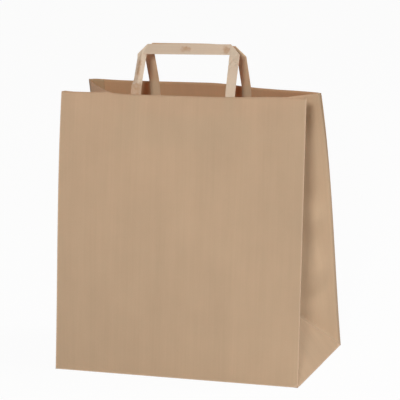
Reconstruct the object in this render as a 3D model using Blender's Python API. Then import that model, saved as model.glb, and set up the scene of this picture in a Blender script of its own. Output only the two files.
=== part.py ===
"""Paper carrier bag: a block-bottom bag folded from one kraft sheet, with two folded tape handles
and two glued patches.

Metres, +Z up. X runs across the front panel, -Y is the front, and the origin is the centre of the
base, on the floor.
"""
import math

import bmesh
import bpy
from mathutils import Vector

# The sheet, as it is cut and creased
PANEL_WIDTH = 0.320
BASE_DEPTH = 0.200
PANEL_LENGTH = 0.3535
SHEET = 0.0004

# How far each top edge has leaned in over the base
FRONT_LEAN_LEFT = 0.0493
FRONT_LEAN_RIGHT = 0.0499
REAR_LEAN = 0.0527

# The rear panel turns forward at a first soft bend, and partly back at a second
FIRST_BEND_X = 0.020
SECOND_BEND_X = 0.062
BEND_HALF_ZONE = 0.020
MIDDLE_SLOPE = 0.300
RIGHT_SLOPE = 0.105

# How far the panels belly out, two thirds of the way up
FRONT_BELLY_LEFT = 0.0042
REAR_BELLY_LEFT = 0.0030
REAR_BELLY_RIGHT = 0.0105

# The pushed-in side gussets
FOOT_TILT = math.radians(35.5)
FRONT_HALF_BOW = 0.0050
REAR_HALF_BOW_LEFT = 0.0050
REAR_HALF_BOW_RIGHT = 0.0090
GUSSET_SLACK = 0.0010

# The glued bottom
FLAP_OVERLAP = 0.025
TUCK_INSET = 0.0015
FOLD_ROUNDING = 0.0003

# The tape handles
TAPE_WIDTH = 0.0135
TAPE = 0.0006
GLUED_LENGTH = 0.055
FRONT_HANDLE_X = 0.0013
FRONT_LEG_SPACING = 0.1238
FRONT_HANDLE_RISE = 0.0587
FRONT_HANDLE_LEAN_LEFT = math.radians(30.0)
FRONT_HANDLE_LEAN_RIGHT = math.radians(22.5)
REAR_HANDLE_X = -0.0075
REAR_LEG_SPACING = 0.1270
REAR_HANDLE_RISE = 0.0508
REAR_HANDLE_LEAN_LEFT = math.radians(23.0)
REAR_HANDLE_LEAN_RIGHT = math.radians(19.5)
RIM_BEND_LENGTH = 0.010

# The reinforcing patches over the glued handle ends
PATCH_MARGIN = 0.020
PATCH_HEIGHT = 0.042
PATCH_DROP = 0.025
PATCH = 0.0004
PATCH_SLOPE = 0.0020

# Neighbouring pieces keep this gap
CLEARANCE = 0.0003

# How finely the bent sheets are divided
PANEL_STEPS = 32
GUSSET_STEPS = 4
FOOT_STEPS = 3
WALL_STEPS = 10
GLUED_STEPS = 6
RIM_BEND_STEPS = 8
RISE_STEPS = 4
PATCH_STEPS = 8
PATCH_ROWS = 3

HALF_WIDTH = PANEL_WIDTH / 2
HALF_DEPTH = BASE_DEPTH / 2
BASE_LIFT = 2 * SHEET
APEX_PART = HALF_DEPTH / PANEL_LENGTH
APEX_INSET = HALF_DEPTH * math.sin(FOOT_TILT)
APEX_HEIGHT = HALF_DEPTH * math.cos(FOOT_TILT)


def clear_scene():
    for old in list(bpy.data.objects):
        bpy.data.objects.remove(old, do_unlink=True)


def material(name, colour, roughness):
    paper = bpy.data.materials.new(name)
    paper.use_nodes = True
    shader = paper.node_tree.nodes["Principled BSDF"]
    shader.inputs["Base Color"].default_value = (*colour, 1.0)
    shader.inputs["Roughness"].default_value = roughness
    shader.inputs["Metallic"].default_value = 0.0
    paper.diffuse_color = (*colour, 1.0)
    return paper


def make_object(name, mesh_builder, paper):
    mesh = bpy.data.meshes.new(name)
    mesh_builder.to_mesh(mesh)
    mesh_builder.free()
    thing = bpy.data.objects.new(name, mesh)
    bpy.context.scene.collection.objects.link(thing)
    if paper:
        mesh.materials.append(paper)
    return thing


def past_bend(x, bend_x):
    """How far x is past a bend line, with the bend itself spread over a soft zone."""
    past = x - bend_x
    if past <= -BEND_HALF_ZONE:
        return 0.0
    if past >= BEND_HALF_ZONE:
        return past
    return (past + BEND_HALF_ZONE) ** 2 / (4 * BEND_HALF_ZONE)


def rear_turn(x):
    """How far the rear rim has come forward at x, and how much narrower that makes the panel."""
    first = past_bend(x, FIRST_BEND_X)
    second = past_bend(x, SECOND_BEND_X)
    forward = MIDDLE_SLOPE * first + (RIGHT_SLOPE - MIDDLE_SLOPE) * second
    drawn_in = (MIDDLE_SLOPE ** 2 * first + (RIGHT_SLOPE ** 2 - MIDDLE_SLOPE ** 2) * second) / 2
    return forward, drawn_in


def belly_share(part):
    """The belly's shape along the height: nothing at both ends, the whole belly two thirds of the way up."""
    return part ** 2 * (1 - part) * 27 / 4


def front_point(x, part):
    """A point of the front panel's outer face, at its share of the way from bottom crease to rim."""
    across = (x + HALF_WIDTH) / PANEL_WIDTH
    lean = FRONT_LEAN_LEFT + (FRONT_LEAN_RIGHT - FRONT_LEAN_LEFT) * across
    height = math.sqrt(PANEL_LENGTH ** 2 - lean ** 2)
    belly = FRONT_BELLY_LEFT * (1 - across) * belly_share(part)
    return Vector((x, -HALF_DEPTH + lean * part - belly, BASE_LIFT + height * part))


def rear_point(x, part):
    """The same for the rear panel, which also turns forward at the right."""
    forward, drawn_in = rear_turn(x)
    lean = REAR_LEAN + forward
    height = math.sqrt(PANEL_LENGTH ** 2 - lean ** 2)
    across = (x + HALF_WIDTH) / PANEL_WIDTH
    belly = (REAR_BELLY_LEFT + (REAR_BELLY_RIGHT - REAR_BELLY_LEFT) * across) * belly_share(part)
    return Vector((x - drawn_in * part, HALF_DEPTH - lean * part + belly, BASE_LIFT + height * part))


def apex(side):
    """The point where the foot's two diagonal creases meet the gusset's centre crease."""
    middle = (front_point(side * HALF_WIDTH, APEX_PART).y + rear_point(side * HALF_WIDTH, APEX_PART).y) / 2
    return Vector((side * (HALF_WIDTH - APEX_INSET), middle, BASE_LIFT + APEX_HEIGHT))


def crease_top(side):
    """The top of the gusset's centre crease, as deep as the gusset's halves reach across the mouth."""
    front = front_point(side * HALF_WIDTH, 1)
    rear = rear_point(side * HALF_WIDTH, 1)
    half_mouth = (rear.y - front.y) / 2
    inset = math.sqrt(HALF_DEPTH ** 2 - half_mouth ** 2) - GUSSET_SLACK
    crease_length = PANEL_LENGTH - HALF_DEPTH
    rise = math.sqrt(crease_length ** 2 - (inset - APEX_INSET) ** 2)
    return Vector((side * (HALF_WIDTH - inset), (front.y + rear.y) / 2, BASE_LIFT + APEX_HEIGHT + rise))


def gusset_points(side, part):
    """One level of a gusset, from front edge to rear edge without those two; both halves bow rearward."""
    front = front_point(side * HALF_WIDTH, part)
    rear = rear_point(side * HALF_WIDTH, part)
    if part <= APEX_PART:
        along = part / APEX_PART
        near = front_point(side * HALF_WIDTH, 0).lerp(apex(side), along)
        far = rear_point(side * HALF_WIDTH, 0).lerp(apex(side), along)
        above = 0.0
    else:
        along = (part - APEX_PART) / (1 - APEX_PART)
        near = apex(side).lerp(crease_top(side), along)
        far = near
        above = along
    rear_bow = REAR_HALF_BOW_LEFT if side < 0 else REAR_HALF_BOW_RIGHT
    points = []
    for start, end, bow, turn in ((front, near, FRONT_HALF_BOW, 1), (far, rear, rear_bow, -1)):
        chord = end - start
        rearward = Vector((side * turn * abs(chord.y), abs(chord.x), 0))
        if chord.length > SHEET:
            rearward.normalize()
        first = 1 if turn > 0 else 0
        last = GUSSET_STEPS if turn > 0 else GUSSET_STEPS - 1
        for step in range(first, last + 1):
            share = step / GUSSET_STEPS
            points.append(start + chord * share + rearward * bow * above * 4 * share * (1 - share))
    return points


def level(part):
    """One level of the whole sheet, anticlockwise from the front left edge."""
    xs = [-HALF_WIDTH + PANEL_WIDTH * step / PANEL_STEPS for step in range(PANEL_STEPS + 1)]
    ring = [front_point(x, part) for x in xs]
    ring += gusset_points(1, part)
    ring += [rear_point(x, part) for x in reversed(xs)]
    ring += reversed(gusset_points(-1, part))
    return ring


def prism(corners, bottom, top):
    """An upright prism over a flat outline."""
    bm = bmesh.new()
    face = bm.faces.new([bm.verts.new((x, y, bottom)) for x, y in corners])
    face.normal_update()
    if face.normal.z > 0:
        face.normal_flip()
    grown = bmesh.ops.extrude_face_region(bm, geom=[face])
    upper = [item for item in grown["geom"] if isinstance(item, bmesh.types.BMVert)]
    bmesh.ops.translate(bm, vec=(0, 0, top - bottom), verts=upper)
    bmesh.ops.recalc_face_normals(bm, faces=bm.faces)
    return bm


def unite(target, name, builder):
    """Joins a helper solid to target with a Boolean union."""
    helper = make_object(name, builder, None)
    helper.hide_render = True
    helper.display_type = "WIRE"
    union = target.modifiers.new(name, "BOOLEAN")
    union.operation = "UNION"
    union.solver = "EXACT"
    union.object = helper


def flap_outline(direction):
    """A bottom flap: hinged along one long edge, cut back at 45 degrees, ending past the middle."""
    hinge = HALF_DEPTH - FOLD_ROUNDING
    reach = HALF_DEPTH + FLAP_OVERLAP / 2
    wide = HALF_WIDTH - FOLD_ROUNDING
    narrow = wide - reach
    return [(-wide, direction * hinge), (wide, direction * hinge),
            (narrow, -direction * FLAP_OVERLAP / 2), (-narrow, -direction * FLAP_OVERLAP / 2)]


def tuck_outline(side):
    """The triangle that the gusset leaves on the bag's floor, inside."""
    edge = side * (HALF_WIDTH - TUCK_INSET)
    reach = HALF_DEPTH - 2 * TUCK_INSET
    return [(edge, -reach), (edge, reach), (side * (HALF_WIDTH - HALF_DEPTH), 0)]


def bag_body(paper):
    """The folded sheet: four walls and a floor, with the flaps under the floor and the tucks on it."""
    parts = [APEX_PART * step / FOOT_STEPS for step in range(FOOT_STEPS)]
    parts += [APEX_PART + (1 - APEX_PART) * step / WALL_STEPS for step in range(WALL_STEPS + 1)]
    bm = bmesh.new()
    rings = [[bm.verts.new(point) for point in level(part)] for part in parts]
    count = len(rings[0])
    for low, high in zip(rings, rings[1:]):
        for i in range(count):
            j = (i + 1) % count
            bm.faces.new((low[i], low[j], high[j], high[i]))
    bm.faces.new(list(reversed(rings[0])))
    bmesh.ops.remove_doubles(bm, verts=bm.verts, dist=SHEET / 100)
    bmesh.ops.recalc_face_normals(bm, faces=bm.faces)
    bag = make_object("bag_body", bm, paper)
    wall = bag.modifiers.new("sheet thickness", "SOLIDIFY")
    wall.thickness = SHEET
    wall.offset = -1.0
    wall.use_even_offset = True
    wall.use_quality_normals = True
    sunk = SHEET / 4
    unite(bag, "front_flap", prism(flap_outline(-1), SHEET, BASE_LIFT + sunk))
    unite(bag, "rear_flap", prism(flap_outline(1), 0, BASE_LIFT + sunk))
    for side, name in ((-1, "left_tuck"), (1, "right_tuck")):
        unite(bag, name, prism(tuck_outline(side), BASE_LIFT + SHEET - sunk, BASE_LIFT + 2 * SHEET))
    return bag


def inner_frame(panel, x, drop):
    """A point on a panel's inner face below the rim, with the way up the panel and the way into the bag."""
    part = 1 - drop / PANEL_LENGTH
    below = part - TAPE_WIDTH / 2 / PANEL_LENGTH
    aside = TAPE_WIDTH / 2
    here = panel(x, part)
    up = (here - panel(x, below)).normalized()
    across = (panel(x + aside, part) - panel(x - aside, part)).normalized()
    inward = up.cross(across) if panel is rear_point else across.cross(up)
    inward.normalize()
    if (inward.y < 0) != (panel is rear_point):
        inward = -inward
    return here + inward * SHEET, up, inward


def ribbon(sections):
    """A closed solid through four-cornered sections."""
    bm = bmesh.new()
    rings = [[bm.verts.new(corner) for corner in section] for section in sections]
    for low, high in zip(rings, rings[1:]):
        for i in range(4):
            j = (i + 1) % 4
            bm.faces.new((low[i], low[j], high[j], high[i]))
    bm.faces.new(list(reversed(rings[0])))
    bm.faces.new(rings[-1])
    bmesh.ops.recalc_face_normals(bm, faces=bm.faces)
    return bm


def handle(name, panel, centre_x, spacing, rise, lean_left, lean_right, paper):
    """A flat tape: two legs glued inside a panel, folded over at 45 degrees into the bar across the top."""
    half = spacing / 2
    toward = 1 if panel is front_point else -1

    def lean_at(x):
        return lean_left + (lean_right - lean_left) * (x - centre_x + half) / spacing

    def tape_frame(x, up_from_rim):
        """Where the tape's panel-side face is, at a height above the rim (negative below it)."""
        if up_from_rim <= 0:
            base, up, inward = inner_frame(panel, x, -up_from_rim)
            return base + inward * CLEARANCE, inward
        base, up, inward = inner_frame(panel, x, 0)
        start = math.atan2(toward * up.y, up.z)
        end = lean_at(x)
        turning = min(up_from_rim, RIM_BEND_LENGTH)
        point = base + inward * CLEARANCE
        turned = (end - start) * turning / RIM_BEND_LENGTH
        for i in range(RIM_BEND_STEPS):
            angle = start + turned * (i + 0.5) / RIM_BEND_STEPS
            point = point + Vector((0, toward * math.sin(angle), math.cos(angle))) * turning / RIM_BEND_STEPS
        angle = start + turned
        point = point + Vector((0, toward * math.sin(angle), math.cos(angle))) * (up_from_rim - turning)
        return point, Vector((0, toward * math.cos(angle), -math.sin(angle)))

    def section(left, left_up, right, right_up, near, far):
        left_point, left_inward = tape_frame(left, left_up)
        right_point, right_inward = tape_frame(right, right_up)
        return [left_point + left_inward * near, right_point + right_inward * near,
                right_point + right_inward * far, left_point + left_inward * far]

    low = rise - TAPE_WIDTH / 2
    high = rise + TAPE_WIDTH / 2
    heights = [-GLUED_LENGTH + GLUED_LENGTH * i / GLUED_STEPS for i in range(GLUED_STEPS)]
    heights += [RIM_BEND_LENGTH * i / RISE_STEPS for i in range(RISE_STEPS + 1)]
    heights.append(low)

    def leg(x, outer_side):
        left = x - TAPE_WIDTH / 2
        right = x + TAPE_WIDTH / 2
        sections = [section(left, h, right, h, 0, TAPE) for h in heights]
        if outer_side < 0:
            sections.append(section(right - SHEET, high - SHEET, right, high, 0, TAPE))
        else:
            sections.append(section(left, high, left + SHEET, high - SHEET, 0, TAPE))
        return ribbon(sections)

    left_x = centre_x - half
    right_x = centre_x + half
    thing = make_object(name, leg(left_x, -1), paper)
    unite(thing, name + "_right_leg", leg(right_x, 1))
    wide = TAPE_WIDTH / 2
    sunk = TAPE / 6
    bar = [section(left_x - wide + SHEET, low, right_x + wide - SHEET, low, TAPE - sunk, 2 * TAPE),
           section(left_x + wide, high - SHEET, right_x - wide, high - SHEET, TAPE - sunk, 2 * TAPE)]
    unite(thing, name + "_bar", ribbon(bar))
    return thing


def patch(name, panel, centre_x, spacing, paper):
    """A strip of kraft glued over both ends of a handle: flat on the panel, and raised over the two legs."""
    half_span = (spacing + TAPE_WIDTH) / 2 + PATCH_MARGIN
    on_panel = CLEARANCE
    over_tape = 2 * CLEARANCE + TAPE
    columns = [(-half_span, on_panel)]
    for leg_x in (-spacing / 2, spacing / 2):
        top = TAPE_WIDTH / 2 + CLEARANCE
        foot = top + PATCH_SLOPE
        columns += [(leg_x - foot, on_panel), (leg_x - top, over_tape)]
        columns += [(leg_x + top, over_tape), (leg_x + foot, on_panel)]
        if leg_x < 0:
            gap = spacing - 2 * foot
            columns += [(leg_x + foot + gap * i / PATCH_STEPS, on_panel) for i in range(1, PATCH_STEPS)]
    columns.append((half_span, on_panel))
    last = len(columns) - 1
    rows = PATCH_ROWS
    bm = bmesh.new()
    grid = {}
    for column, (offset, stand_off) in enumerate(columns):
        for row in range(rows + 1):
            drop = PATCH_DROP + PATCH_HEIGHT * row / rows
            base, up, inward = inner_frame(panel, centre_x + offset, drop)
            grid[0, column, row] = bm.verts.new(base + inward * stand_off)
            grid[1, column, row] = bm.verts.new(base + inward * (stand_off + PATCH))
    for face in (0, 1):
        for column in range(last):
            for row in range(rows):
                bm.faces.new([grid[face, column + a, row + b] for a, b in ((0, 0), (1, 0), (1, 1), (0, 1))])
    border = [(column, 0) for column in range(last)] + [(last, row) for row in range(rows)]
    border += [(column, rows) for column in range(last, 0, -1)] + [(0, row) for row in range(rows, 0, -1)]
    for (a, b), (c, d) in zip(border, border[1:] + border[:1]):
        bm.faces.new([grid[0, a, b], grid[0, c, d], grid[1, c, d], grid[1, a, b]])
    bmesh.ops.recalc_face_normals(bm, faces=bm.faces)
    return make_object(name, bm, paper)


clear_scene()
kraft = material("kraft", (0.503, 0.356, 0.231), 0.85)
front_tape = material("front handle tape", (0.578, 0.456, 0.337), 0.80)
rear_tape = material("rear handle tape", (0.578, 0.456, 0.337), 0.80)
front_strip = material("front patch kraft", (0.503, 0.356, 0.231), 0.85)
rear_strip = material("rear patch kraft", (0.503, 0.356, 0.231), 0.85)
bag_body(kraft)
handle("front_handle", front_point, FRONT_HANDLE_X, FRONT_LEG_SPACING, FRONT_HANDLE_RISE,
       FRONT_HANDLE_LEAN_LEFT, FRONT_HANDLE_LEAN_RIGHT, front_tape)
handle("rear_handle", rear_point, REAR_HANDLE_X, REAR_LEG_SPACING, REAR_HANDLE_RISE,
       REAR_HANDLE_LEAN_LEFT, REAR_HANDLE_LEAN_RIGHT, rear_tape)
patch("front_patch", front_point, FRONT_HANDLE_X, FRONT_LEG_SPACING, front_strip)
patch("rear_patch", rear_point, REAR_HANDLE_X, REAR_LEG_SPACING, rear_strip)
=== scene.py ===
"""Paper carrier bag: one folded kraft sheet, two flat paper-tape handles and the patches that hold them."""
import math

import bmesh
import bpy
from mathutils import Matrix, Vector, noise


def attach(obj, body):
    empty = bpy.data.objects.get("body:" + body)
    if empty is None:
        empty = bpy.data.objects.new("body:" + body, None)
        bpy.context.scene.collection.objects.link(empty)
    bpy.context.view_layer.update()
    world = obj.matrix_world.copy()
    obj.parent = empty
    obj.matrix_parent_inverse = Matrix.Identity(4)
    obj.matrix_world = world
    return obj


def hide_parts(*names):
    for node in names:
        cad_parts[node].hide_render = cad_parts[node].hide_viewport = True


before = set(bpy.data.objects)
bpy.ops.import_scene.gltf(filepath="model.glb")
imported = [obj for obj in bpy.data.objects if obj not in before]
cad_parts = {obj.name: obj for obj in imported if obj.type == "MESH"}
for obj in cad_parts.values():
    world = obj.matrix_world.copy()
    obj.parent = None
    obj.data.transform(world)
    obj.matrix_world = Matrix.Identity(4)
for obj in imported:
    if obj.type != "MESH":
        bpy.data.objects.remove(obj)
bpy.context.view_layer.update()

# The bag sheet. One web of brown kraft, cut to length, creased, and wrapped into a tube with a side
# gusset left and right. Its four walls stand on a block bottom that is folded from the same sheet.
PANEL_WIDTH = 0.320
BASE_DEPTH = 0.200
PANEL_LENGTH = 0.3535
SHEET_PLACE = 0.0004
SHEET_THICKNESS = 0.00026
CELL = 0.005
LAP_START = 0.020
LAP_WIDTH = 0.015
FLAP_REACH = 0.1125
FOLD_WIDTH = 0.0005
HALF_WIDTH = PANEL_WIDTH / 2
HALF_DEPTH = BASE_DEPTH / 2
BASE_LIFT = 2 * SHEET_PLACE
GIRTH = 2 * (PANEL_WIDTH + BASE_DEPTH)

FRONT_LEAN_LEFT = 0.0493
FRONT_LEAN_RIGHT = 0.0499
REAR_LEAN = 0.0527
FIRST_BEND_X = 0.020
SECOND_BEND_X = 0.062
BEND_HALF_ZONE = 0.020
MIDDLE_SLOPE = 0.300
RIGHT_SLOPE = 0.105
FRONT_BELLY_LEFT = 0.0042
REAR_BELLY_LEFT = 0.0030
REAR_BELLY_RIGHT = 0.0105
REAR_LEFT_FLARE = 0.0022
FLARE_SHARE = 0.25
FOOT_TILT = math.radians(35.5)
FRONT_HALF_BOW = 0.0050
REAR_HALF_BOW_LEFT = -0.0090
REAR_HALF_BOW_RIGHT = 0.0090
GUSSET_SLACK = 0.0010
LEFT_CREASE_FORWARD = 0.007
FRONT_FLAP_DROP = 0.30
REAR_FLAP_DROP = 0.85
TUCK_LIFT = 0.45
APEX_PART = HALF_DEPTH / PANEL_LENGTH
APEX_INSET = HALF_DEPTH * math.sin(FOOT_TILT)
APEX_HEIGHT = HALF_DEPTH * math.cos(FOOT_TILT)


def past_bend(x, bend_x):
    """How far x is past a bend line, with the bend itself spread over a soft zone."""
    past = x - bend_x
    if past <= -BEND_HALF_ZONE:
        return 0.0
    if past >= BEND_HALF_ZONE:
        return past
    return (past + BEND_HALF_ZONE) ** 2 / (4 * BEND_HALF_ZONE)


def rear_turn(x):
    """How far the rear rim has come forward at x, and how much narrower that makes the panel."""
    first = past_bend(x, FIRST_BEND_X)
    second = past_bend(x, SECOND_BEND_X)
    forward = MIDDLE_SLOPE * first + (RIGHT_SLOPE - MIDDLE_SLOPE) * second
    drawn_in = (MIDDLE_SLOPE ** 2 * first + (RIGHT_SLOPE ** 2 - MIDDLE_SLOPE ** 2) * second) / 2
    return forward, drawn_in


def belly_share(part):
    """The belly's shape along the height: nothing at both ends, the whole belly two thirds of the way up."""
    return part ** 2 * (1 - part) * 27 / 4


def front_panel(x, part):
    """The front panel's outer face, at its share of the way from bottom crease to rim."""
    across = (x + HALF_WIDTH) / PANEL_WIDTH
    lean = FRONT_LEAN_LEFT + (FRONT_LEAN_RIGHT - FRONT_LEAN_LEFT) * across
    height = math.sqrt(PANEL_LENGTH ** 2 - lean ** 2)
    belly = FRONT_BELLY_LEFT * (1 - across) * belly_share(part)
    return Vector((x, -HALF_DEPTH + lean * part - belly, BASE_LIFT + height * part))


def rear_panel(x, part):
    """The same for the rear panel, which also turns forward at the right."""
    forward, drawn_in = rear_turn(x)
    lean = REAR_LEAN + forward
    height = math.sqrt(PANEL_LENGTH ** 2 - lean ** 2)
    across = (x + HALF_WIDTH) / PANEL_WIDTH
    belly = (REAR_BELLY_LEFT + (REAR_BELLY_RIGHT - REAR_BELLY_LEFT) * across) * belly_share(part)
    flare = REAR_LEFT_FLARE * max(1 - across / FLARE_SHARE, 0) ** 2 * part ** 3
    return Vector((x - drawn_in * part - flare, HALF_DEPTH - lean * part + belly, BASE_LIFT + height * part))


def gusset_apex(side):
    """Where the two diagonal foot creases meet the gusset's centre crease."""
    front = front_panel(side * HALF_WIDTH, APEX_PART)
    rear = rear_panel(side * HALF_WIDTH, APEX_PART)
    return Vector((side * (HALF_WIDTH - APEX_INSET), (front.y + rear.y) / 2, BASE_LIFT + APEX_HEIGHT))


def gusset_top(side):
    """The top of the gusset's centre crease."""
    front = front_panel(side * HALF_WIDTH, 1)
    rear = rear_panel(side * HALF_WIDTH, 1)
    forward = LEFT_CREASE_FORWARD if side < 0 else 0.0
    half_mouth = (rear.y - front.y) / 2 + forward
    inset = math.sqrt(HALF_DEPTH ** 2 - half_mouth ** 2) - GUSSET_SLACK
    rise = math.sqrt((PANEL_LENGTH - HALF_DEPTH) ** 2 - (inset - APEX_INSET) ** 2)
    return Vector((side * (HALF_WIDTH - inset), rear.y - half_mouth, BASE_LIFT + APEX_HEIGHT + rise))


def gusset(side, from_front, part):
    """A gusset's outer face. From_front is 0 at the front edge and 1 at the rear edge; bows are rearward."""
    front = front_panel(side * HALF_WIDTH, part)
    rear = rear_panel(side * HALF_WIDTH, part)
    reach = min(part / APEX_PART, 1) / 2
    near = front_panel(side * HALF_WIDTH, 0).lerp(gusset_apex(side), reach * 2)
    far = rear_panel(side * HALF_WIDTH, 0).lerp(gusset_apex(side), reach * 2)
    above = 0.0
    if part > APEX_PART:
        above = (part - APEX_PART) / (1 - APEX_PART)
        near = gusset_apex(side).lerp(gusset_top(side), above)
        far = near
    if reach < from_front < 1 - reach:
        return near.lerp(far, (from_front - reach) / (1 - 2 * reach))
    if from_front <= reach:
        start, end, bow, turn = front, near, FRONT_HALF_BOW, 1
        share = from_front / reach if reach else 0
    else:
        start, end, turn = far, rear, -1
        bow = REAR_HALF_BOW_LEFT if side < 0 else REAR_HALF_BOW_RIGHT
        share = 1 - (1 - from_front) / reach
    chord = end - start
    rearward = Vector((side * turn * abs(chord.y), abs(chord.x), 0))
    if chord.length > SHEET_PLACE:
        rearward.normalize()
    return start + chord * share + rearward * bow * above * 4 * share * (1 - share)


WALLS = (("front", PANEL_WIDTH), ("right", BASE_DEPTH), ("rear", PANEL_WIDTH), ("left", BASE_DEPTH))


def strip_of(run):
    """Which wall a place along the girth belongs to, and how far it is into that wall."""
    run = run % GIRTH
    for wall, width in WALLS:
        if run < width:
            return wall, run
        run -= width
    return "front", run


def walls(run, rise):
    """The folded place of a point of the flat sheet: run along the girth, rise above the bottom crease."""
    wall, into = strip_of(run)
    part = rise / PANEL_LENGTH
    if wall == "front":
        return front_panel(into - HALF_WIDTH, part)
    if wall == "rear":
        return rear_panel(HALF_WIDTH - into, part)
    if wall == "right":
        return gusset(1, into / BASE_DEPTH, part)
    return gusset(-1, 1 - into / BASE_DEPTH, part)


def bottom(run, reach):
    """The folded place of a point reach past the bottom crease: tucks inside, rear flap outermost."""
    wall, into = strip_of(run)
    settle = min(reach / CELL, 1)
    tuck = BASE_LIFT + TUCK_LIFT * BASE_LIFT * settle
    if wall == "front":
        flap = BASE_LIFT - FRONT_FLAP_DROP * BASE_LIFT * settle
        return Vector((into - HALF_WIDTH, -HALF_DEPTH + reach, flap))
    if wall == "rear":
        flap = BASE_LIFT - REAR_FLAP_DROP * BASE_LIFT * settle
        return Vector((HALF_WIDTH - into, HALF_DEPTH - reach, flap))
    if wall == "right":
        return Vector((HALF_WIDTH - reach, into - HALF_DEPTH, tuck))
    return Vector((reach - HALF_WIDTH, HALF_DEPTH - into, tuck))


CORNERS = (0.0, PANEL_WIDTH, PANEL_WIDTH + BASE_DEPTH, -BASE_DEPTH)
GUSSET_STARTS = (-BASE_DEPTH, PANEL_WIDTH)


def fold_distance(run, rise):
    """How far a point of the flat sheet is from the nearest fold."""
    nearest = abs(rise)
    for corner in CORNERS + (CORNERS[3] + GIRTH, CORNERS[2] - GIRTH):
        nearest = min(nearest, abs(run - corner))
    for start in GUSSET_STARTS:
        into = run - start
        if -CELL < into < BASE_DEPTH + CELL:
            if rise > HALF_DEPTH:
                nearest = min(nearest, abs(into - HALF_DEPTH))
            else:
                from_front = abs(into - rise) * math.sqrt(0.5)
                from_rear = abs(BASE_DEPTH - into - rise) * math.sqrt(0.5)
                nearest = min(nearest, from_front, from_rear)
    return nearest


# Dents and swells in the rear half of the right gusset: run, rise, half sizes, and how far each stands out.
DENTS = (
    (0.500, 0.324, 0.026, 0.013, -0.0034),
    (0.486, 0.283, 0.022, 0.017, 0.0030),
    (0.480, 0.221, 0.024, 0.015, -0.0034),
    (0.492, 0.187, 0.024, 0.014, 0.0028),
    (0.478, 0.155, 0.026, 0.017, -0.0036),
    (0.490, 0.117, 0.026, 0.014, 0.0028),
    (0.476, 0.083, 0.024, 0.012, -0.0030),
    (0.510, 0.094, 0.010, 0.010, -0.0012),
)
DENT_EDGE = 9

# The cut rims are not quite straight: where along x, and how far each rises there.
FRONT_RIM = (
    (-0.160, -0.0011), (-0.122, -0.0009), (-0.100, 0.0003), (-0.091, -0.0012), (-0.075, -0.0021),
    (0.040, -0.0017), (0.080, -0.0007), (0.110, 0.0007), (0.136, 0.0013), (0.144, 0.0003), (0.160, 0.0006),
)
REAR_RIM = (
    (-0.160, 0.0001), (-0.150, 0.0006), (-0.138, 0.0004), (-0.120, 0.0), (0.040, 0.0002), (0.065, 0.0007),
    (0.090, 0.0006), (0.105, 0.0003), (0.125, 0.0005), (0.160, 0.0003),
)
RIM_REACH = 0.040


def rim_rise(run, rise):
    """How far the paper near a rim stands above its plain place."""
    wall, into = strip_of(run)
    if wall not in ("front", "rear") or rise < PANEL_LENGTH - RIM_REACH:
        return 0.0
    x, table = (into - HALF_WIDTH, FRONT_RIM) if wall == "front" else (HALF_WIDTH - into, REAR_RIM)
    share = (rise - PANEL_LENGTH + RIM_REACH) / RIM_REACH
    for (x0, rise0), (x1, rise1) in zip(table, table[1:]):
        if x0 <= x <= x1:
            return (rise0 + (rise1 - rise0) * (x - x0) / (x1 - x0)) * share ** 2
    return 0.0


FOLD_CALM = 0.020
BUCKLES = {"front": 0.00045, "rear": 0.0008, "right": 0.0009, "left": 0.0009}
SMALL_BUCKLES = 0.35


def smooth(share):
    """A soft step from 0 to 1."""
    share = min(max(share, 0), 1)
    return share * share * (3 - 2 * share)


def buckle(run, rise):
    """How far the paper stands off its plain folded place."""
    wall, into = strip_of(run)
    calm = smooth(fold_distance(run, rise) / FOLD_CALM)
    broad = noise.noise(Vector((run * 11, rise * 9, 3.1)))
    small = noise.noise(Vector((run * 34, rise * 22, 7.7)))
    swell = BUCKLES[wall] * (broad + SMALL_BUCKLES * small)
    for dent_run, dent_rise, half_run, half_rise, dent_depth in DENTS:
        off = ((run - dent_run) / half_run) ** 2 + ((rise - dent_rise) / half_rise) ** 2
        if off < DENT_EDGE:
            swell += dent_depth * math.exp(-off)
    return swell * calm


def folded(run, rise):
    """The finished place of a point of the flat sheet."""
    if rise < 0:
        return bottom(run, -rise)
    place = walls(run, rise)
    small = CELL / 5
    low, high = max(rise - small, 0), min(rise + small, PANEL_LENGTH)
    across = walls(run + small, rise) - walls(run - small, rise)
    up = walls(run, high) - walls(run, low)
    outward = across.cross(up).normalized()
    place = place + outward * buckle(run, rise) + up.normalized() * rim_rise(run, rise)
    if run > GIRTH - BASE_DEPTH - LAP_START - CELL / 2:
        place = place + outward * SHEET_PLACE
    return place


bm = bmesh.new()
first_run = -BASE_DEPTH - LAP_START
last_run = GIRTH - BASE_DEPTH - LAP_START + LAP_WIDTH
columns = round((last_run - first_run) / CELL)
rows = round((PANEL_LENGTH + FLAP_REACH + CELL) / CELL)
bmesh.ops.create_grid(bm, x_segments=columns, y_segments=rows, size=0.5)
lowest = -math.ceil(FLAP_REACH / CELL) * CELL
for vert in bm.verts:
    vert.co.x = first_run + round((vert.co.x + 0.5) * columns) * CELL
    vert.co.y = lowest + round((vert.co.y + 0.5) * rows) * CELL


def in_flaps(run, rise):
    """Below the bottom crease the front and rear keep a flap with 45 degree ends, the gussets a tuck."""
    wall, into = strip_of(run)
    if rise > 0 or wall in ("left", "right"):
        return True
    return -rise < into and -rise < PANEL_WIDTH - into


def cut_line(low_run, high_run, low_rise, high_rise, place, normal):
    """Creases the flat sheet along a line, within a rectangle of it."""
    faces = []
    for face in bm.faces:
        centre = face.calc_center_median()
        if low_run < centre.x < high_run and low_rise < centre.y < high_rise:
            faces.append(face)
    edges = {edge for face in faces for edge in face.edges}
    verts = {vert for face in faces for vert in face.verts}
    bmesh.ops.bisect_plane(bm, geom=faces + list(edges) + list(verts), dist=CELL / 100,
                           plane_co=place, plane_no=normal)


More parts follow.
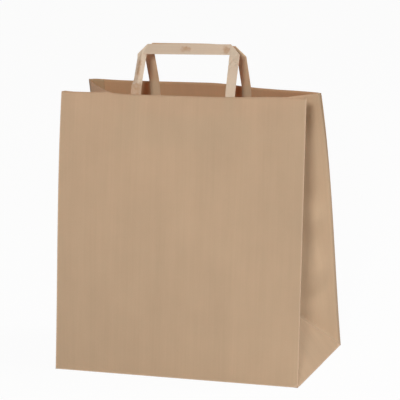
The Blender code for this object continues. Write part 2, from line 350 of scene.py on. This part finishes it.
for start in GUSSET_STARTS:
    middle = start + HALF_DEPTH
    cut_line(start, middle, 0, HALF_DEPTH, (start, 0, 0), (1, -1, 0))
    cut_line(middle, start + BASE_DEPTH, 0, HALF_DEPTH, (start + BASE_DEPTH, 0, 0), (1, 1, 0))
for start in (0.0, PANEL_WIDTH + BASE_DEPTH):
    cut_line(start, start + HALF_WIDTH, -HALF_WIDTH, 0, (start, 0, 0), (1, 1, 0))
    cut_line(start + HALF_WIDTH, start + PANEL_WIDTH, -HALF_WIDTH, 0, (start + PANEL_WIDTH, 0, 0), (1, -1, 0))
cut_line(first_run, -BASE_DEPTH, -HALF_WIDTH, 0, (-BASE_DEPTH, 0, 0), (1, -1, 0))
spare = [face for face in bm.faces if not in_flaps(face.calc_center_median().x, face.calc_center_median().y)]
bmesh.ops.delete(bm, geom=spare, context="FACES")
for vert in bm.verts:
    vert.co.y = max(min(vert.co.y, PANEL_LENGTH), -FLAP_REACH)


def lay_flat_uv(bm, name):
    """Writes where each corner lies on the flat paper, and smooths the faces."""
    uv = bm.loops.layers.uv.new(name)
    for face in bm.faces:
        face.smooth = True
        for loop in face.loops:
            loop[uv].uv = (loop.vert.co.x, loop.vert.co.y)
    return uv


sheet_uv = lay_flat_uv(bm, "sheet")


def is_fold(edge):
    """True for an edge of the flat sheet that lies on a fold."""
    first, second = (vert.co for vert in edge.verts)
    near = CELL / 10
    if len(edge.link_faces) < 2 or min(first.y, second.y) < -near:
        return False
    centre = (first + second) / 2
    return fold_distance(first.x, first.y) < near and fold_distance(second.x, second.y) < near and \
        fold_distance(centre.x, centre.y) < near


folds = [edge for edge in bm.edges if is_fold(edge)]
places = {vert: folded(vert.co.x, vert.co.y) for vert in bm.verts}
for vert, place in places.items():
    vert.co = place
bmesh.ops.bevel(bm, geom=folds, offset=FOLD_WIDTH, offset_type="OFFSET", affect="EDGES", segments=2,
                profile=0.5, material=-1, clamp_overlap=True, loop_slide=True)
FOLD_MEASURE = 0.05
fold_layer = bm.verts.layers.float.new("fold_distance")
for vert in bm.verts:
    if vert.link_loops:
        run, rise = vert.link_loops[0][sheet_uv].uv
        vert[fold_layer] = min(fold_distance(run, rise), FOLD_MEASURE)
for face in bm.faces:
    face.smooth = True


def finished(bm, name):
    """Turns a built mesh into an object of the scene."""
    mesh = bpy.data.meshes.new(name)
    bm.to_mesh(mesh)
    bm.free()
    piece = bpy.data.objects.new(name, mesh)
    bpy.context.scene.collection.objects.link(piece)
    return piece


bag_sheet = finished(bm, "bag_sheet")
wall = bag_sheet.modifiers.new("paper thickness", "SOLIDIFY")
wall.thickness = SHEET_THICKNESS
wall.offset = -1.0

KRAFT = (0.472, 0.353, 0.230)
# Lighter kraft for the folds: partly fibres rubbed light, partly a painted highlight of the creases catching
# the lamp.
KRAFT_RUBBED_AND_HIGHLIGHT = (0.60, 0.455, 0.32)


def kraft_group():
    """Unbleached paper: machine ribs along the web, cloudy tone whose broadest cloud is partly painted light,
    felted fibres, bark specks, and a masked second colour for rubbed folds with their painted highlight and
    for the tapes' marks.
    """
    group = bpy.data.node_groups.new("kraft paper", "ShaderNodeTree")
    for name, kind in (("Place on sheet", "NodeSocketVector"), ("Paper colour", "NodeSocketColor"),
                       ("Wear and painted light colour", "NodeSocketColor"), ("Wear and painted light", "NodeSocketFloat"),
                       ("Rib pitch", "NodeSocketFloat"), ("Rib contrast", "NodeSocketFloat"),
                       ("Cloud contrast", "NodeSocketFloat"), ("Fibre contrast", "NodeSocketFloat"),
                       ("Specks", "NodeSocketFloat")):
        group.interface.new_socket(name=name, in_out="INPUT", socket_type=kind)
    for name, kind in (("Colour", "NodeSocketColor"), ("Roughness", "NodeSocketFloat"),
                       ("Height", "NodeSocketFloat")):
        group.interface.new_socket(name=name, in_out="OUTPUT", socket_type=kind)
    nodes, link = group.nodes, group.links.new
    given = nodes.new("NodeGroupInput")
    result = nodes.new("NodeGroupOutput")

    def math_node(operation, first, second=None, third=None):
        node = nodes.new("ShaderNodeMath")
        node.operation = operation
        for socket, value in zip(node.inputs, (first, second, third)):
            if isinstance(value, bpy.types.NodeSocket):
                link(value, socket)
            elif value is not None:
                socket.default_value = value
        return node.outputs[0]

    def cloud(scale, detail, roughness=0.5):
        """Noise over the sheet, centred on zero, at a scale per metre along each side."""
        stretch = nodes.new("ShaderNodeMapping")
        stretch.inputs["Scale"].default_value = scale
        link(given.outputs["Place on sheet"], stretch.inputs["Vector"])
        texture = nodes.new("ShaderNodeTexNoise")
        texture.inputs["Scale"].default_value = 1.0
        texture.inputs["Detail"].default_value = detail
        texture.inputs["Roughness"].default_value = roughness
        link(stretch.outputs[0], texture.inputs["Vector"])
        return math_node("SUBTRACT", texture.outputs["Fac"], 0.5)

    split = nodes.new("ShaderNodeSeparateXYZ")
    link(given.outputs["Place on sheet"], split.inputs[0])
    wander = cloud((60, 9, 1), 2)
    turn = math_node("DIVIDE", split.outputs["X"], given.outputs["Rib pitch"])
    turn = math_node("MULTIPLY_ADD", wander, 3.0, turn)
    ribs = math_node("SINE", math_node("MULTIPLY", turn, 2 * math.pi))
    rib_fade = math_node("ADD", cloud((90, 30, 1), 2), 0.5)
    ribs = math_node("MULTIPLY", ribs, rib_fade)
    # The broadest cloud is partly the sheet's own tone and partly a painted pool of lamp light.
    drift_and_light_pool = cloud((5.0, 4.0, 1), 1)
    bands = cloud((48, 1.6, 1), 2)
    streaks = cloud((420, 10, 1), 3)
    mottle = cloud((22, 17, 1), 3, 0.6)
    fibres = cloud((1400, 420, 1), 4, 0.65)
    felt = cloud((2600, 2200, 1), 3, 0.7)
    tone = math_node("MULTIPLY", ribs, given.outputs["Rib contrast"])
    broad = math_node("MULTIPLY_ADD", bands, 0.9, math_node("MULTIPLY_ADD", streaks, 0.7, mottle))
    broad = math_node("MULTIPLY_ADD", drift_and_light_pool, 1.1, broad)
    tone = math_node("MULTIPLY_ADD", broad, given.outputs["Cloud contrast"], tone)
    fine = math_node("MULTIPLY_ADD", felt, 0.7, fibres)
    tone = math_node("MULTIPLY_ADD", fine, given.outputs["Fibre contrast"], tone)
    bark = cloud((900, 620, 1), 2, 0.5)
    bark = math_node("GREATER_THAN", bark, 0.205)
    tone = math_node("MULTIPLY_ADD", math_node("MULTIPLY", bark, given.outputs["Specks"]), -1.0, tone)
    tone = math_node("ADD", tone, 1.0)
    toned = nodes.new("ShaderNodeVectorMath")
    toned.operation = "SCALE"
    link(given.outputs["Paper colour"], toned.inputs[0])
    link(tone, toned.inputs["Scale"])
    # Mix toward the second colour by the mask: rubbed and smudged paper, with painted highlight along folds
    # and painted shade on the tapes.
    rub = nodes.new("ShaderNodeMix")
    rub.data_type = "RGBA"
    patchy = math_node("MULTIPLY_ADD", cloud((260, 260, 1), 3, 0.6), 1.4, 0.75)
    link(math_node("MULTIPLY", given.outputs["Wear and painted light"], patchy), rub.inputs["Factor"])
    link(toned.outputs[0], rub.inputs["A"])
    link(given.outputs["Wear and painted light colour"], rub.inputs["B"])
    link(rub.outputs["Result"], result.inputs["Colour"])
    link(math_node("MULTIPLY_ADD", fine, 0.12, 0.80), result.inputs["Roughness"])
    height = math_node("MULTIPLY_ADD", ribs, 0.35, math_node("MULTIPLY_ADD", fine, 0.5, mottle))
    link(height, result.inputs["Height"])
    return group


kraft_paper = kraft_group()


def paper_material(name, uv_name, colour, wear_and_light_colour, through, values, bump, wear_and_light_attribute=None,
                   wear_and_light_reach=0.0012, wear=0.5):
    """A paper material: the kraft group in flat coordinates, and a little warm light through the paper."""
    paper = bpy.data.materials.new(name)
    paper.use_nodes = True
    nodes, link = paper.node_tree.nodes, paper.node_tree.links.new
    shader = nodes["Principled BSDF"]
    shader.inputs["Specular IOR Level"].default_value = 0.45
    group = nodes.new("ShaderNodeGroup")
    group.node_tree = kraft_paper
    flat = nodes.new("ShaderNodeUVMap")
    flat.uv_map = uv_name
    link(flat.outputs["UV"], group.inputs["Place on sheet"])
    group.inputs["Paper colour"].default_value = (*colour, 1)
    group.inputs["Wear and painted light colour"].default_value = (*wear_and_light_colour, 1)
    for socket, value in values.items():
        group.inputs[socket].default_value = value
    # The mask: near its attribute's zero the colour turns to the second colour, rubbed paper with a painted
    # highlight along the sheet's folds, smudges and painted shade on the tapes.
    if wear_and_light_attribute:
        distance = nodes.new("ShaderNodeAttribute")
        distance.attribute_name = wear_and_light_attribute
        worn = nodes.new("ShaderNodeMapRange")
        worn.interpolation_type = "SMOOTHSTEP"
        worn.inputs["From Min"].default_value = 0.0
        worn.inputs["From Max"].default_value = wear_and_light_reach
        worn.inputs["To Min"].default_value = wear
        worn.inputs["To Max"].default_value = 0.0
        link(distance.outputs["Fac"], worn.inputs["Value"])
        link(worn.outputs["Result"], group.inputs["Wear and painted light"])
    relief = nodes.new("ShaderNodeBump")
    relief.inputs["Strength"].default_value = 1.0
    relief.inputs["Distance"].default_value = bump
    link(group.outputs["Height"], relief.inputs["Height"])
    link(relief.outputs["Normal"], shader.inputs["Normal"])
    link(group.outputs["Colour"], shader.inputs["Base Color"])
    link(group.outputs["Roughness"], shader.inputs["Roughness"])
    light_through = nodes.new("ShaderNodeBsdfTranslucent")
    light_through.inputs["Color"].default_value = (*through, 1)
    sheet = nodes.new("ShaderNodeAddShader")
    link(shader.outputs[0], sheet.inputs[0])
    link(light_through.outputs[0], sheet.inputs[1])
    link(sheet.outputs[0], nodes["Material Output"].inputs["Surface"])
    return paper


BAG_PAPER = {"Rib pitch": 0.0013, "Rib contrast": 0.010, "Cloud contrast": 0.15,
             "Fibre contrast": 0.12, "Specks": 0.12}
# The inner face is the same kraft painted darker and warmer: painted shade and warm bounce light of the bag's
# inside.
KRAFT_INSIDE_SHADED = (0.392, 0.284, 0.163)
KRAFT_THROUGH = (0.20, 0.075, 0.020)
OUTER_RELIEF = 0.00006
INNER_RELIEF = 0.00008
# Near the folds both faces mix toward a lighter colour: rubbed fibres with a painted crease highlight.
bag_sheet.data.materials.append(
    paper_material("bag kraft", "sheet", KRAFT, KRAFT_RUBBED_AND_HIGHLIGHT, KRAFT_THROUGH, BAG_PAPER, OUTER_RELIEF,
                   "fold_distance", 0.0021, 0.90))
bag_sheet.data.materials.append(
    paper_material("bag kraft inside shaded", "sheet", KRAFT_INSIDE_SHADED, KRAFT, KRAFT_THROUGH, BAG_PAPER, INNER_RELIEF,
                   "fold_distance", 0.0016, 0.55))
wall.material_offset = 1
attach(bag_sheet, "root")
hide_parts("bag_body")


# The handles. Each is one flat tape of several paper layers, folded over at 45 degrees at both top
# corners. Its two ends are glued inside the panel, and above the rim it leans in over the mouth.
TAPE_WIDTH = 0.0135
TAPE = 0.0006
TAPE_BODY = 0.00052
GLUED_LENGTH = 0.055
RIM_BEND_LENGTH = 0.010
RIM_BEND_STEPS = 8
CLEARANCE = 0.0003
TAPE_CELL = 0.0013
CELLS_ACROSS = 12
MERGE = 0.00002
TAPE_RELIEF = 0.00005
PATCH_DROP = 0.025
PINCH = 0.155
PINCH_START = 0.008
PINCH_RAMP = 0.012
PINCH_RIDGE = 0.35
RIDGE_FADE = 0.006
CORNER_FADE = 0.020
SPLAY_LOSS = 0.6
WRINKLE_HALF = 0.0011
MARK_RAGGED = 0.5
FRONT_HANDLE_X = 0.0013
FRONT_LEG_SPACING = 0.1238
REAR_HANDLE_X = -0.0075
REAR_LEG_SPACING = 0.1270


def inner_frame(panel, x, drop):
    """A point of a panel's inner face below the rim, the way up the panel, and the way into the bag."""
    part = 1 - drop / PANEL_LENGTH
    below = part - TAPE_WIDTH / 2 / PANEL_LENGTH
    aside = TAPE_WIDTH / 2
    here = panel(x, part)
    up = (here - panel(x, below)).normalized()
    across = (panel(x + aside, part) - panel(x - aside, part)).normalized()
    inward = up.cross(across)
    if (inward.y < 0) != (panel is rear_panel):
        inward = -inward
    return here + inward * SHEET_PLACE, up, inward


def handle_tape(name, node, panel, centre_x, spacing, rise, lean_left, lean_right, colour, pinch, right_taper,
                right_splay, marks):
    """Folds one tape: a flat strip, turned over at both 45 degree folds, then laid in its leaning place.

    Pinch is the share of the left leg's shallow ridge. The right leg narrows by its taper and stands
    right by its splay. Marks are the darker places, real smudges and painted shade: how far along and
    across the tape, their half sizes, and how sharp.
    """
    half = spacing / 2
    wide = TAPE_WIDTH / 2
    toward = 1 if panel is front_panel else -1
    low, high = rise - wide, rise + wide
    fold_radius = TAPE / 2
    left = centre_x - half - wide
    right = centre_x + half + wide
    leg = GLUED_LENGTH + low
    bar = right - left
    total = 2 * leg + bar

    def leaning(x, up_from_rim, depth):
        """A place on the tape, given across the panel, up from the rim, and in from the panel."""
        base, up, inward = inner_frame(panel, x, max(-up_from_rim, 0))
        if up_from_rim <= 0:
            return base + inward * (CLEARANCE + depth)
        start = math.atan2(toward * up.y, up.z)
        end = lean_left + (lean_right - lean_left) * (x - centre_x + half) / spacing
        turning = min(up_from_rim, RIM_BEND_LENGTH)
        place = base + inward * CLEARANCE
        for step in range(RIM_BEND_STEPS):
            angle = start + (end - start) * (step + 0.5) / RIM_BEND_STEPS * turning / RIM_BEND_LENGTH
            place = place + Vector((0, toward * math.sin(angle), math.cos(angle))) * turning / RIM_BEND_STEPS
        angle = start + (end - start) * turning / RIM_BEND_LENGTH
        place = place + Vector((0, toward * math.sin(angle), math.cos(angle))) * (up_from_rim - turning)
        return place + Vector((0, toward * math.cos(angle), -math.sin(angle))) * depth

    bm = bmesh.new()
    pieces = round(total / TAPE_CELL)
    bmesh.ops.create_grid(bm, x_segments=CELLS_ACROSS, y_segments=pieces, size=0.5)
    for vert in bm.verts:
        vert.co = Vector((vert.co.x * TAPE_WIDTH, (vert.co.y + 0.5) * total, 0))
    steps = [fold_radius * math.pi / 4 * step for step in range(-2, 3)]
    for along, way in ((leg + wide, 1), (leg + bar - wide, -1)):
        for step in steps:
            bmesh.ops.bisect_plane(bm, geom=list(bm.faces) + list(bm.edges) + list(bm.verts), dist=MERGE,
                                   plane_co=(0, along + step * math.sqrt(2), 0), plane_no=(-way, 1, 0))
    lay_flat_uv(bm, "tape")
    mark_layer = bm.verts.layers.float.new("mark_distance")
    for vert in bm.verts:
        across, along = vert.co.x, vert.co.y
        x, height = left + wide + across, along - GLUED_LENGTH
        first = (height - low - (x - left)) / math.sqrt(2)
        depth = TAPE / 2
        second = None
        if first > -fold_radius * math.pi / 2:
            arc = min(first / fold_radius + math.pi / 2, math.pi)
            out = fold_radius * (math.sin(arc) - 1) - fold_radius * max(first / fold_radius - math.pi / 2, 0)
            depth = TAPE / 2 + fold_radius * (1 - math.cos(arc))
            shift = (out - first) / math.sqrt(2)
            x, height = x - shift, height + shift
            second = (x - (right - TAPE_WIDTH) - (high - height)) / math.sqrt(2)
        else:
            shift = -fold_radius * (1 - math.pi / 2) / math.sqrt(2)
            x, height = x - shift, height + shift
        if second is not None and second > -fold_radius * math.pi / 2:
            arc = min(second / fold_radius + math.pi / 2, math.pi)
            out = fold_radius * (math.sin(arc) - 1) - fold_radius * max(second / fold_radius - math.pi / 2, 0)
            depth = TAPE / 2 + fold_radius * (1 + math.cos(arc))
            shift = (out - second) / math.sqrt(2)
            x, height = x + shift, height + shift
        if first < 0:
            pinched = pinch * smooth((height - PINCH_START) / PINCH_RAMP)
            off_centre = x - left - wide
            ridge = smooth((x - left - height + low) / RIDGE_FADE)
            depth = depth + PINCH_RIDGE * abs(off_centre) * pinched * ridge
            x = x - PINCH * off_centre * pinched
        elif second is None or second < 0:
            past_fold = x - left - height + low
            x = x - PINCH * (height - low - wide) * pinch * smooth(1 - past_fold / CORNER_FADE)
        else:
            from_left = (x - right) / TAPE_WIDTH + 1
            splay = right_splay * smooth(1 + height / PATCH_DROP) * (1 - SPLAY_LOSS * max(height, 0) / high)
            x = x - right_taper * from_left * (1 - height / high) + splay
            for middle, slant, deep in WRINKLES:
                off = (height - middle - slant * across) / WRINKLE_HALF
                if abs(off) < 4:
                    depth = depth + pinch * deep * math.exp(-off * off)
        nearest = 1.0
        # Distance to the nearest darker place, smudges and painted shade alike.
        for mark_along, mark_across, half_along, half_across, edge in marks:
            far = math.hypot((along - mark_along) / half_along, (across - mark_across) / half_across)
            far += MARK_RAGGED * max(noise.noise(Vector((along * 420, across * 300, 5.3))), -0.5)
            nearest = min(nearest, max(far, 0) ** edge)
        vert[mark_layer] = nearest
        vert.co = leaning(x, height, depth)
    tape = finished(bm, name)
    body = tape.modifiers.new("tape thickness", "SOLIDIFY")
    body.thickness = TAPE_BODY
    body.offset = 0.0
    edge = tape.modifiers.new("pressed edges", "BEVEL")
    edge.width = TAPE_BODY / 4
    edge.segments = 2
    edge.limit_method = "ANGLE"
    tape.data.materials.append(
        paper_material(name + " paper", "tape", colour, TAPE_SMUDGE_AND_SHADE, TAPE_THROUGH, TAPE_PAPER, TAPE_RELIEF,
                       "mark_distance", 1.0, 0.95))
    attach(tape, "root")
    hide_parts(node)
    return tape


# Darker tape colour for the marks: real smudges on the bar, painted shade along the left leg's crease, a
# brown band at that leg's foot.
TAPE_SMUDGE_AND_SHADE = (0.425, 0.270, 0.158)
TAPE_THROUGH = (0.16, 0.06, 0.015)
TAPE_PAPER = {"Rib pitch": 0.0009, "Rib contrast": 0.02, "Cloud contrast": 0.22,
              "Fibre contrast": 0.20, "Specks": 0.10}
# Creases across the front handle's right leg: how high above the rim, their slant, and how deep.
WRINKLES = ((0.0455, 0.9, 0.0008), (0.0420, 0.6, -0.0006), (0.0475, -1.1, 0.0008), (0.0385, -0.7, 0.0006))
# Darker places on the front handle: a brown band across the foot of its left leg, painted shade along the
# crease up that leg, two smudges on the bar.
FRONT_MARKS = ((0.0555, 0.0, 0.0150, 0.05, 6.0), (0.0880, -0.0010, 0.0180, 0.0036, 2.0),
               (0.1717, 0.0002, 0.0085, 0.0048, 1.6), (0.2258, -0.0006, 0.0056, 0.0064, 2.5))
FRONT_TAPE_COLOUR = (0.600, 0.510, 0.390)
# The rear tape is painted darker and warmer than the front one: painted shade of the rear handle, which
# stands behind the front handle over the mouth.
REAR_TAPE_SHADED_COLOUR = (0.570, 0.440, 0.285)
handle_tape("front_tape", "front_handle", front_panel, FRONT_HANDLE_X, FRONT_LEG_SPACING, 0.0587,
            math.radians(30.0), math.radians(22.5), FRONT_TAPE_COLOUR, 1.0, 0.0013, 0.0, FRONT_MARKS)
handle_tape("rear_tape", "rear_handle", rear_panel, REAR_HANDLE_X, REAR_LEG_SPACING, 0.0508,
            math.radians(23.0), math.radians(19.5), REAR_TAPE_SHADED_COLOUR, 0.0, 0.0, 0.0022, ())


# The patches. A kraft strip is glued inside each panel over both ends of its handle. It lies flat on
# the panel and is pressed up over the two tape ends.
PATCH_MARGIN = 0.020
PATCH_HEIGHT = 0.042
PATCH_THICKNESS = 0.0003
PATCH_SLOPE = 0.0020
PATCH_COLUMNS = 176
PATCH_ROWS = 12
PATCH_LIFT = 0.0001
PATCH_WAVES = 0.00012


def patch_strip(name, node, panel, centre_x, spacing):
    """Lays one strip on a panel, raised over the two legs of its handle."""
    half_span = (spacing + TAPE_WIDTH) / 2 + PATCH_MARGIN
    top = TAPE_WIDTH / 2 + CLEARANCE
    over_tape = CLEARANCE + TAPE
    bm = bmesh.new()
    bmesh.ops.create_grid(bm, x_segments=PATCH_COLUMNS, y_segments=PATCH_ROWS, size=0.5)
    for vert in bm.verts:
        vert.co = Vector((vert.co.x * 2 * half_span, vert.co.y * PATCH_HEIGHT, 0))
    lay_flat_uv(bm, "patch")
    for vert in bm.verts:
        across, along = vert.co.x, vert.co.y
        off = abs(abs(across) - spacing / 2) - top
        share = smooth(1 - off / PATCH_SLOPE)
        base, up, inward = inner_frame(panel, centre_x + across, PATCH_DROP + PATCH_HEIGHT / 2 - along)
        waves = PATCH_WAVES * noise.noise(Vector((across * 60, along * 60, 1.7)))
        vert.co = base + inward * (CLEARANCE + PATCH_LIFT + over_tape * share + waves)
    if panel is front_panel:
        bmesh.ops.reverse_faces(bm, faces=bm.faces)
    strip = finished(bm, name)
    paper = strip.modifiers.new("paper thickness", "SOLIDIFY")
    paper.thickness = PATCH_THICKNESS
    paper.offset = 1.0
    strip.data.materials.append(
        paper_material(name + " kraft", "patch", KRAFT, KRAFT_RUBBED_AND_HIGHLIGHT, KRAFT_THROUGH, BAG_PAPER, OUTER_RELIEF))
    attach(strip, "root")
    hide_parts(node)
    return strip


patch_strip("front_patch_strip", "front_patch", front_panel, FRONT_HANDLE_X, FRONT_LEG_SPACING)
patch_strip("rear_patch_strip", "rear_patch", rear_panel, REAR_HANDLE_X, REAR_LEG_SPACING)


# The floor. A plain pale ground that runs far out on all sides; it keeps the bag's soft shadow.
FLOOR_HALF = 14.0
FLOOR_PAINT = 0.86
FLOOR_GLOW = 0.955
bm = bmesh.new()
bmesh.ops.create_grid(bm, x_segments=1, y_segments=1, size=FLOOR_HALF)
floor = finished(bm, "floor")
floor_paint = bpy.data.materials.new("pale floor")
floor_paint.use_nodes = True
nodes, link = floor_paint.node_tree.nodes, floor_paint.node_tree.links.new
nodes["Principled BSDF"].inputs["Base Color"].default_value = (FLOOR_PAINT, FLOOR_PAINT, FLOOR_PAINT, 1)
nodes["Principled BSDF"].inputs["Roughness"].default_value = 1.0
nodes["Principled BSDF"].inputs["Specular IOR Level"].default_value = 0.0
seen = nodes.new("ShaderNodeLightPath")
glow = nodes.new("ShaderNodeEmission")
glow.inputs["Color"].default_value = (1, 1, 1, 1)
lit = nodes.new("ShaderNodeMath")
lit.operation = "MULTIPLY"
lit.inputs[1].default_value = FLOOR_GLOW
link(seen.outputs["Is Camera Ray"], lit.inputs[0])
both = nodes.new("ShaderNodeMixShader")
link(lit.outputs[0], both.inputs["Fac"])
link(nodes["Principled BSDF"].outputs[0], both.inputs[1])
link(glow.outputs[0], both.inputs[2])
link(both.outputs[0], nodes["Material Output"].inputs["Surface"])
floor.data.materials.append(floor_paint)

# The light. A small lamp stands left of the camera and a little higher, a wide soft one hangs at the
# right, and a dim warm room fills the shadows. Seen straight, the room is white.
ROOM_LIGHT = 0.19
ROOM_COLOUR = (1.0, 0.90, 0.80)
LAMPS = (
    ("key", 89.0, 0.36, Vector((0.86, -3.76, 1.32))),
    ("side fill", 45.0, 1.5, Vector((2.20, 0.60, 1.98))),
)
world = bpy.data.worlds.new("studio")
bpy.context.scene.world = world
world.use_nodes = True
nodes, link = world.node_tree.nodes, world.node_tree.links.new
seen = nodes.new("ShaderNodeLightPath")
plain = nodes.new("ShaderNodeMath")
plain.operation = "MAXIMUM"
link(seen.outputs["Is Camera Ray"], plain.inputs[0])
link(seen.outputs["Is Glossy Ray"], plain.inputs[1])
any_view = nodes.new("ShaderNodeMath")
any_view.operation = "MAXIMUM"
link(plain.outputs[0], any_view.inputs[0])
link(seen.outputs["Is Transmission Ray"], any_view.inputs[1])
strength = nodes.new("ShaderNodeMapRange")
strength.inputs["To Min"].default_value = ROOM_LIGHT
strength.inputs["To Max"].default_value = 1.0
link(any_view.outputs[0], strength.inputs["Value"])
link(strength.outputs["Result"], nodes["Background"].inputs["Strength"])
room = nodes.new("ShaderNodeMix")
room.data_type = "RGBA"
room.inputs["A"].default_value = (*ROOM_COLOUR, 1)
room.inputs["B"].default_value = (1, 1, 1, 1)
link(any_view.outputs[0], room.inputs["Factor"])
link(room.outputs["Result"], nodes["Background"].inputs["Color"])
for name, power, size, place in LAMPS:
    light = bpy.data.lights.new(name, "AREA")
    light.shape = "SQUARE"
    light.size = size
    light.energy = power
    lamp = bpy.data.objects.new(name, light)
    lamp.location = place
    lamp.rotation_euler = (Vector((0, 0, 0.2)) - place).to_track_quat("-Z", "Y").to_euler()
    bpy.context.scene.collection.objects.link(lamp)

# The camera. A long lens from the right and a little above, as the photograph was taken.
CAMERA_PLACE = Vector((0.88182124, -2.54334032, 0.77567309))
CAMERA_TARGET = Vector((0.0037968, 0.0, 0.20734924))
CAMERA_ROLL = math.radians(-1.130)
CAMERA_LENS = 194.87
ahead = (CAMERA_TARGET - CAMERA_PLACE).normalized()
level = ahead.cross(Vector((0, 0, 1))).normalized()
above = level.cross(ahead)
camera_right = level * math.cos(CAMERA_ROLL) + above * math.sin(CAMERA_ROLL)
camera_up = above * math.cos(CAMERA_ROLL) - level * math.sin(CAMERA_ROLL)
lens = bpy.data.cameras.new("camera")
lens.lens = CAMERA_LENS
lens.sensor_width = 36.0
lens.sensor_fit = "HORIZONTAL"
camera = bpy.data.objects.new("camera", lens)
turn = Matrix((camera_right, camera_up, -ahead)).transposed().to_4x4()
camera.matrix_world = Matrix.Translation(CAMERA_PLACE) @ turn
bpy.context.scene.collection.objects.link(camera)
bpy.context.scene.camera = camera
bpy.context.scene.view_settings.view_transform = "Standard"

bpy.context.view_layer.update()
